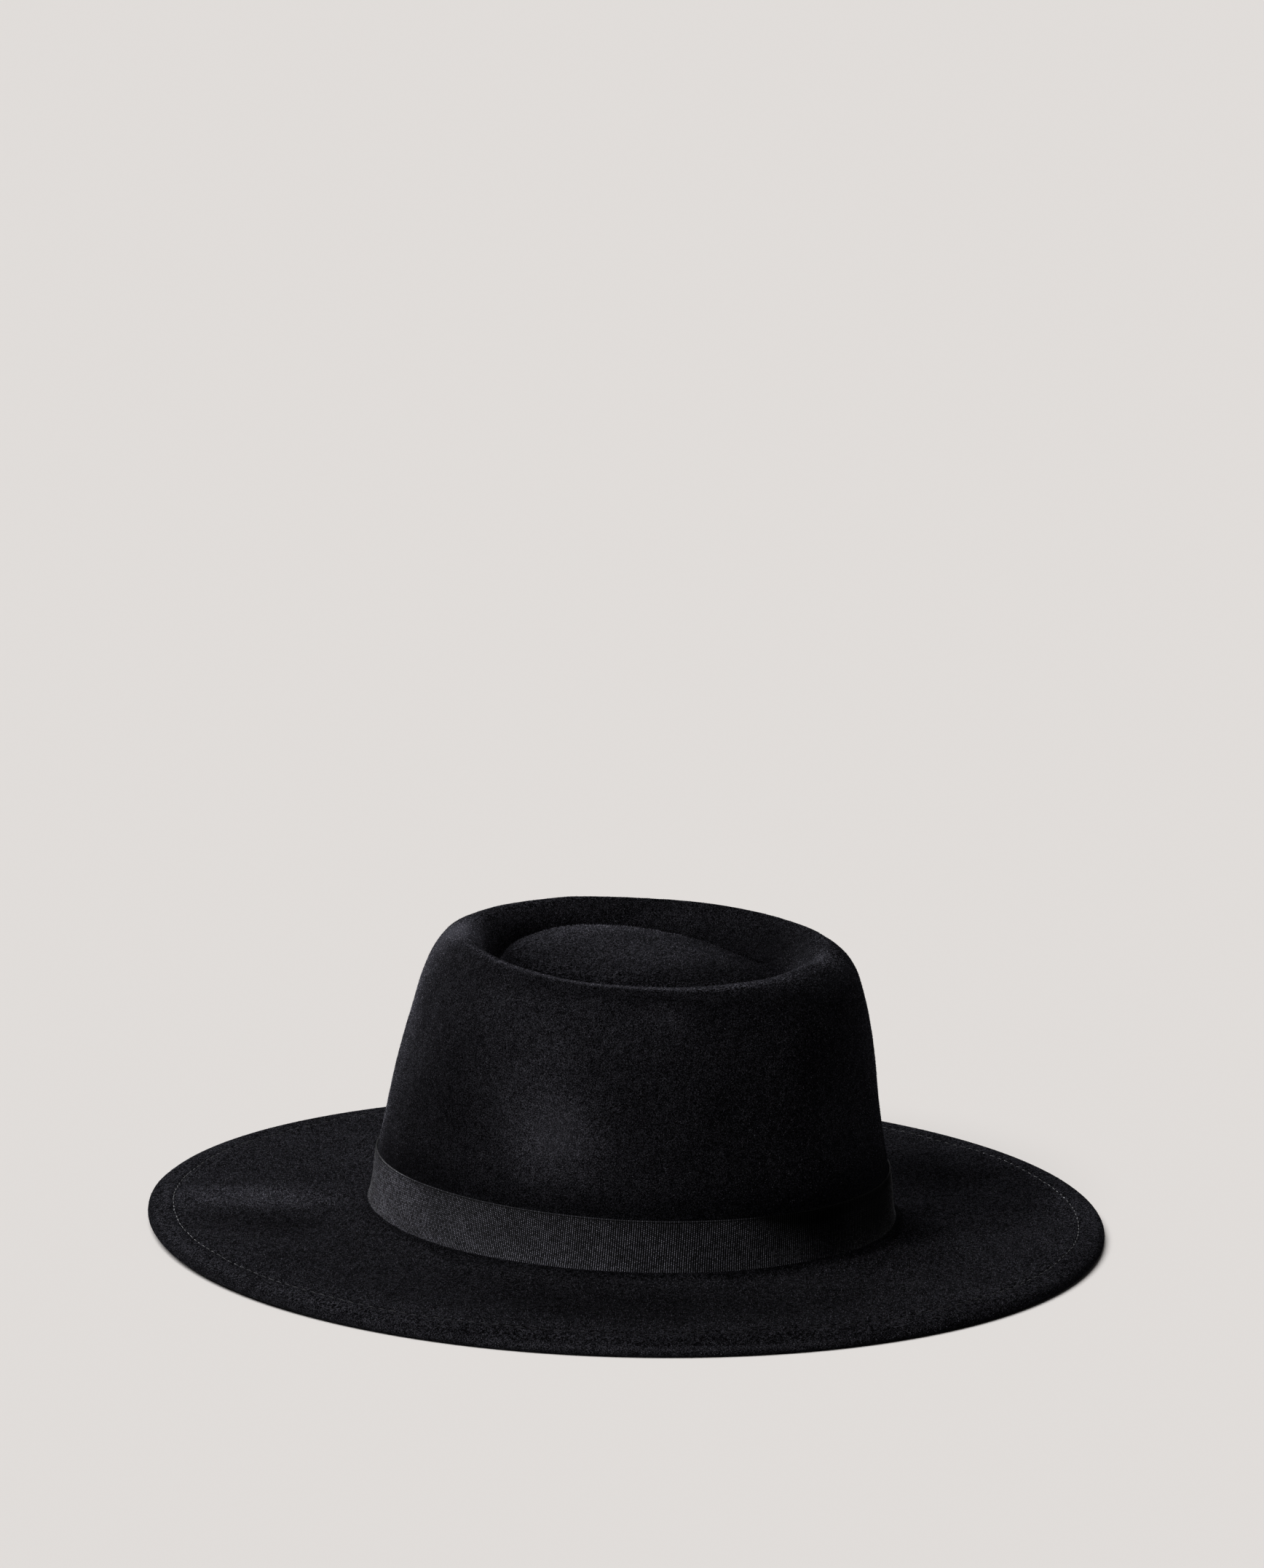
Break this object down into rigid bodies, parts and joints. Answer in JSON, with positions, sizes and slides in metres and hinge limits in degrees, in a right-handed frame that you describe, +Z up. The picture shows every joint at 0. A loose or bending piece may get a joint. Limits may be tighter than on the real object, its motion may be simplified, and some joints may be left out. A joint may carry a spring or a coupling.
{
  "type": "wide brim fedora",
  "caption": "Wide-brimmed felt fedora with a teardrop crown, a stitched turned-under brim edge and a plain grosgrain ribbon; worn on the head.",
  "frame": {"origin": "on the surface that the brim rests on, under the middle of the brim", "axes": "+Z up through the crown; -Y the way the front of the hat looks; +X the wearer's left"},
  "size_m": [0.3318, 0.3648, 0.1113],
  "materials": {
    "felt": "black wool felt, matte with a short soft nap",
    "grosgrain": "black ribbed grosgrain with a soft sheen"
  },
  "bodies": {
    "root": {"felt_body": "felt", "hatband": "grosgrain"}
  },
  "joints": []
}
